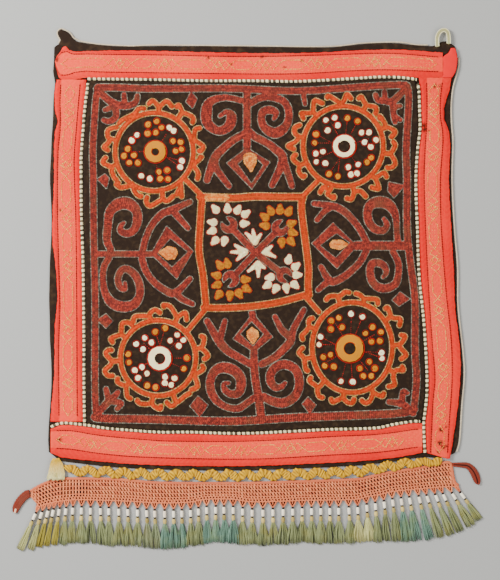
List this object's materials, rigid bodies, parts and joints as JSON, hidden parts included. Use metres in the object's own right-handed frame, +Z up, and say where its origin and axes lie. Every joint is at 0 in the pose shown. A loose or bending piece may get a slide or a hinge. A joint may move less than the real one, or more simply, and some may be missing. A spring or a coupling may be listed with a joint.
{
  "type": "embroidered felt panel with tassel fringe",
  "caption": "Square felt panel with chain stitch scrolls and rosettes, a quilted red cotton border, a zigzag ribbon, a netted band and a beaded tassel fringe, lying face up.",
  "frame": {"origin": "on the underside of the backing, below the middle of the embroidered cross", "axes": "+Z is up, out of the embroidered face; +Y points to the edge with the hanging loop, away from the fringe; +X points to the panel's right side as it is seen"},
  "size_m": [0.5889, 0.6545, 0.0056],
  "materials": {
    "dark_felt": "matt felted wool",
    "embroidered_felt": "matt wool with chain stitch",
    "red_cotton": "matt quilted cotton",
    "whipped_cord": "matt thread",
    "pale_cord": "matt thread",
    "yellow_braid": "soft silk sheen",
    "red_netting": "matt cotton thread",
    "tassel_yarn": "soft twisted yarn",
    "red_tape": "matt woven tape"
  },
  "bodies": {
    "root": {"back_cloth": "dark_felt", "centre_felt": "embroidered_felt", "border_top": "red_cotton", "border_left": "red_cotton", "border_right": "red_cotton", "border_bottom": "red_cotton", "corner_flap": "red_cotton", "edging_top": "whipped_cord", "edging_left": "whipped_cord", "edging_right": "whipped_cord", "edging_bottom": "whipped_cord", "edge_cord": "pale_cord", "edge_cord_right": "pale_cord", "loop_right": "pale_cord", "zigzag_ribbon": "yellow_braid", "ribbon_end": "yellow_braid", "net_band": "red_netting", "tassel_fringe": "tassel_yarn", "tie_left": "red_tape", "tie_right": "red_tape"}
  },
  "joints": []
}
